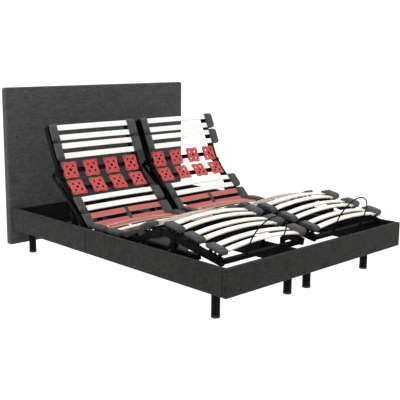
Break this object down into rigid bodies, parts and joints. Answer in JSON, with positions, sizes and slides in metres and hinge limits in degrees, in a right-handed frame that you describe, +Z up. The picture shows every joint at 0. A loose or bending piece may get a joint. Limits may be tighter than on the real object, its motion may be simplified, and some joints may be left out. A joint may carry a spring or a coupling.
{
  "type": "adjustable bed base",
  "caption": "Fabric-covered double adjustable bed base with a headboard; two slatted supports with separately rising back, head, thigh and calf sections driven from below.",
  "frame": {"origin": "on the floor, under the centre of the whole bed", "axes": "X across the bed, +Y towards the headboard, +Z up"},
  "size_m": [1.698, 2.16, 1.189],
  "materials": {
    "board_fabric": "charcoal woven upholstery",
    "black_board": "black board",
    "bracket_steel": "dark grey powder coat",
    "leg_black": "black powder coat",
    "foot_plastic": "black",
    "frame_black": "black powder coat, satin",
    "drive_plastic": "dark grey textured",
    "pin_steel": "zinc plated",
    "cap_grey": "mid grey, darker on top",
    "slat_white": "white foil over laminated beech, brown edges",
    "slat_red": "coral red foil over laminated beech",
    "pad_red": "coral red, slightly soft",
    "slider_grey": "dark grey",
    "wire_black": "black coated rod"
  },
  "bodies": {
    "base": {"headboard": "board_fabric", "left_side_rail": "board_fabric", "right_side_rail": "board_fabric", "foot_rail": "board_fabric", "rail_linings": "black_board", "centre_boards": "black_board", "head_crossboard": "black_board", "joint_brackets": "bracket_steel", "legs": "leg_black", "leg_feet": "foot_plastic", "left_base_frame": "frame_black", "right_base_frame": "frame_black", "left_twin_drive": "drive_plastic", "right_twin_drive": "drive_plastic", "hinge_pins": "pin_steel", "seat_caps": "cap_grey", "seat_red_slats": "slat_red", "seat_white_slats": "slat_white"},
    "left_back": {"left_back_frame": "frame_black", "left_back_caps": "cap_grey", "left_back_white_slats": "slat_white", "left_back_red_slats": "slat_red", "left_back_pads": "pad_red"},
    "left_slider": {"left_firmness_slider": "slider_grey"},
    "left_head": {"left_head_frame": "frame_black", "left_head_caps": "cap_grey", "left_head_slats": "slat_white", "left_head_pads": "pad_red"},
    "left_thigh": {"left_thigh_frame": "frame_black", "left_thigh_caps": "cap_grey", "left_thigh_slats": "slat_white"},
    "left_calf": {"left_calf_frame": "frame_black", "left_calf_caps": "cap_grey", "left_calf_slats": "slat_white", "left_retainer_bow": "wire_black"},
    "left_back_lift": {"left_back_lift": "frame_black"},
    "left_leg_lift": {"left_leg_lift": "frame_black"},
    "left_head_link": {"left_head_links": "frame_black"},
    "left_calf_stay": {"left_calf_stays": "frame_black"},
    "right_back": {"right_back_frame": "frame_black", "right_back_caps": "cap_grey", "right_back_white_slats": "slat_white", "right_back_red_slats": "slat_red", "right_back_pads": "pad_red"},
    "right_slider": {"right_firmness_slider": "slider_grey"},
    "right_head": {"right_head_frame": "frame_black", "right_head_caps": "cap_grey", "right_head_slats": "slat_white", "right_head_pads": "pad_red"},
    "right_thigh": {"right_thigh_frame": "frame_black", "right_thigh_caps": "cap_grey", "right_thigh_slats": "slat_white"},
    "right_calf": {"right_calf_frame": "frame_black", "right_calf_caps": "cap_grey", "right_calf_slats": "slat_white", "right_retainer_bow": "wire_black"},
    "right_back_lift": {"right_back_lift": "frame_black"},
    "right_leg_lift": {"right_leg_lift": "frame_black"},
    "right_head_link": {"right_head_links": "frame_black"},
    "right_calf_stay": {"right_calf_stays": "frame_black"}
  },
  "joints": [
    {"name": "left_back_tilt", "type": "hinge", "parent": "base", "child": "left_back", "pos_m": [-0.401, 0.214, 0.289], "axis": [1, 0, 0], "range_deg": [-46.3, 13.7]},
    {"name": "left_head_tilt", "type": "hinge", "parent": "left_back", "child": "left_head", "pos_m": [-0.401, 0.50486, 0.59337], "axis": [1, 0, 0], "range_deg": [-20.21, 5.99]},
    {"name": "left_thigh_tilt", "type": "hinge", "parent": "base", "child": "left_thigh", "pos_m": [-0.401, -0.17, 0.272], "axis": [-1, 0, 0], "range_deg": [-24.5, 10.5]},
    {"name": "left_calf_tilt", "type": "hinge", "parent": "left_thigh", "child": "left_calf", "pos_m": [-0.401, -0.49395, 0.41963], "axis": [1, 0, 0], "range_deg": [-35.41, 15.18]},
    {"name": "left_slider_slide", "type": "slide", "parent": "left_back", "child": "left_slider", "axis": [1, 0, 0], "range_m": [-0.15, 0.15]},
    {"name": "left_back_lift_turn", "type": "hinge", "parent": "base", "child": "left_back_lift", "pos_m": [-0.401, 0.329, 0.225], "axis": [1, 0, 0], "range_deg": [-64.83, 19.19]},
    {"name": "left_leg_lift_turn", "type": "hinge", "parent": "base", "child": "left_leg_lift", "pos_m": [-0.401, -0.261, 0.225], "axis": [-1, 0, 0], "range_deg": [-41.17, 17.65]},
    {"name": "left_head_link_turn", "type": "hinge", "parent": "base", "child": "left_head_link", "pos_m": [-0.401, 0.208, 0.304], "axis": [1, 0, 0], "range_deg": [-49.16, 14.55]},
    {"name": "left_calf_stay_turn", "type": "hinge", "parent": "base", "child": "left_calf_stay", "pos_m": [-0.401, -0.35022, 0.19798], "axis": [-1, 0, 0], "range_deg": [-27.74, 11.89]},
    {"name": "right_back_tilt", "type": "hinge", "parent": "base", "child": "right_back", "pos_m": [0.401, 0.214, 0.289], "axis": [1, 0, 0], "range_deg": [-46.3, 13.7]},
    {"name": "right_head_tilt", "type": "hinge", "parent": "right_back", "child": "right_head", "pos_m": [0.401, 0.50486, 0.59337], "axis": [1, 0, 0], "range_deg": [-20.21, 5.99]},
    {"name": "right_thigh_tilt", "type": "hinge", "parent": "base", "child": "right_thigh", "pos_m": [0.401, -0.17, 0.272], "axis": [-1, 0, 0], "range_deg": [-24.5, 10.5]},
    {"name": "right_calf_tilt", "type": "hinge", "parent": "right_thigh", "child": "right_calf", "pos_m": [0.401, -0.49395, 0.41963], "axis": [1, 0, 0], "range_deg": [-35.41, 15.18]},
    {"name": "right_slider_slide", "type": "slide", "parent": "right_back", "child": "right_slider", "axis": [1, 0, 0], "range_m": [-0.15, 0.15]},
    {"name": "right_back_lift_turn", "type": "hinge", "parent": "base", "child": "right_back_lift", "pos_m": [0.401, 0.329, 0.225], "axis": [1, 0, 0], "range_deg": [-64.83, 19.19]},
    {"name": "right_leg_lift_turn", "type": "hinge", "parent": "base", "child": "right_leg_lift", "pos_m": [0.401, -0.261, 0.225], "axis": [-1, 0, 0], "range_deg": [-41.17, 17.65]},
    {"name": "right_head_link_turn", "type": "hinge", "parent": "base", "child": "right_head_link", "pos_m": [0.401, 0.208, 0.304], "axis": [1, 0, 0], "range_deg": [-49.16, 14.55]},
    {"name": "right_calf_stay_turn", "type": "hinge", "parent": "base", "child": "right_calf_stay", "pos_m": [0.401, -0.35022, 0.19798], "axis": [-1, 0, 0], "range_deg": [-27.74, 11.89]}
  ],
  "couplings": [
    {"joint": "left_head_tilt", "follows": "left_back_tilt", "ratio": 0.43629},
    {"joint": "left_calf_tilt", "follows": "left_thigh_tilt", "ratio": 1.4449},
    {"joint": "left_back_lift_turn", "follows": "left_back_tilt", "ratio": 1.4},
    {"joint": "left_leg_lift_turn", "follows": "left_thigh_tilt", "ratio": 1.68},
    {"joint": "left_head_link_turn", "follows": "left_back_tilt", "ratio": 1.0617},
    {"joint": "left_calf_stay_turn", "follows": "left_thigh_tilt", "ratio": 1.1318},
    {"joint": "right_head_tilt", "follows": "right_back_tilt", "ratio": 0.43629},
    {"joint": "right_calf_tilt", "follows": "right_thigh_tilt", "ratio": 1.4449},
    {"joint": "right_back_lift_turn", "follows": "right_back_tilt", "ratio": 1.4},
    {"joint": "right_leg_lift_turn", "follows": "right_thigh_tilt", "ratio": 1.68},
    {"joint": "right_head_link_turn", "follows": "right_back_tilt", "ratio": 1.0617},
    {"joint": "right_calf_stay_turn", "follows": "right_thigh_tilt", "ratio": 1.1318}
  ]
}
